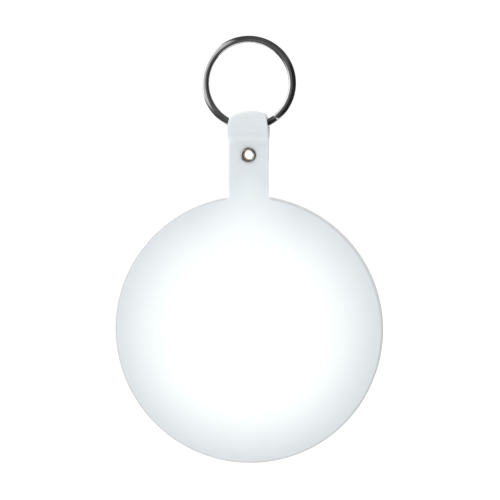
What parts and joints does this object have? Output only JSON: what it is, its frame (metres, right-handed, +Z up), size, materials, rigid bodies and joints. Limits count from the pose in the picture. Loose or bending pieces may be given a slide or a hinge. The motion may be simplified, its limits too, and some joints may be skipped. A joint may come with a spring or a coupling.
{
  "type": "tracker tag",
  "caption": "Soft round white tracker tag: a domed disc with a strap folded over a split ring and closed by an eyelet, sealed radio core inside, twist-off coin-cell door behind.",
  "frame": {"origin": "inside top of the split ring, where the tag hangs, in the middle of the ring's width", "axes": "+Z up, away from the disc; -Y out of the plain front face; +X to the right seen from the front"},
  "size_m": [0.068, 0.01, 0.1081],
  "materials": {
    "soft_white": "soft satin vinyl",
    "ring_steel": "bright nickel-plated spring steel",
    "eyelet_nickel": "nickel-plated, slightly dull",
    "eyelet_brass": "bare rolled brass",
    "shell_plastic": "fine matt moulded plastic",
    "tape": "matt double-sided tape",
    "board": "solder mask",
    "black_plastic": "matt moulded black",
    "shield_steel": "tinned sheet",
    "plated_contacts": "thin gold-plated spring metal",
    "antenna_ceramic": "fired, matt",
    "led_resin": "clear cast resin",
    "plunger_plastic": "moulded",
    "foam": "thin closed-cell foam",
    "sounder_brass": "rolled disc",
    "sounder_ceramic": "fired, silvered",
    "cell_steel": "pressed stainless steel",
    "cell_gasket": "moulded",
    "door_rubber": "smooth rubber",
    "screw_steel": "zinc-plated"
  },
  "bodies": {
    "ring": {"split_ring": "ring_steel"},
    "strap": {"strap_loop": "soft_white", "eyelet": "eyelet_nickel", "eyelet_washer": "eyelet_brass"},
    "tag": {"front_skin": "soft_white", "back_skin": "soft_white", "skin_tape": "tape", "core_front_shell": "shell_plastic", "core_back_shell": "shell_plastic", "pcb": "board", "shield_can": "shield_steel", "radio_chip": "black_plastic", "crystal": "plated_contacts", "chip_antenna": "antenna_ceramic", "led": "led_resin", "switch_base": "black_plastic", "piezo_foam": "foam", "piezo_brass": "sounder_brass", "piezo_ceramic": "sounder_ceramic", "piezo_spring_1": "plated_contacts", "piezo_spring_2": "plated_contacts", "positive_contact": "plated_contacts", "negative_contact": "plated_contacts", "cell_can": "cell_steel", "cell_seal": "cell_gasket", "cell_cap": "cell_steel", "door_seal": "door_rubber", "core_screw_1": "screw_steel", "core_screw_2": "screw_steel", "core_screw_3": "screw_steel"},
    "button": {"button_cap": "shell_plastic", "switch_plunger": "plunger_plastic"},
    "door": {"battery_door": "shell_plastic"}
  },
  "joints": [
    {"name": "ring_swing", "type": "hinge", "parent": "ring", "child": "strap", "pos_m": [0, 0, -0.0211], "axis": [1, 0, 0], "range_deg": [-120, 120]},
    {"name": "neck_bend", "type": "hinge", "parent": "strap", "child": "tag", "pos_m": [0, -0.00075, -0.03346], "axis": [1, 0, 0], "range_deg": [-60, 60], "stiffness_Nm_per_rad": 0.003},
    {"name": "button_press", "type": "slide", "parent": "tag", "child": "button", "axis": [0, 1, 0], "range_m": [0, 0.00025], "stiffness_N_per_m": 2000},
    {"name": "door_twist", "type": "hinge", "parent": "tag", "child": "door", "pos_m": [0, 0, -0.07236], "axis": [0, 1, 0], "range_deg": [0, 35]}
  ]
}
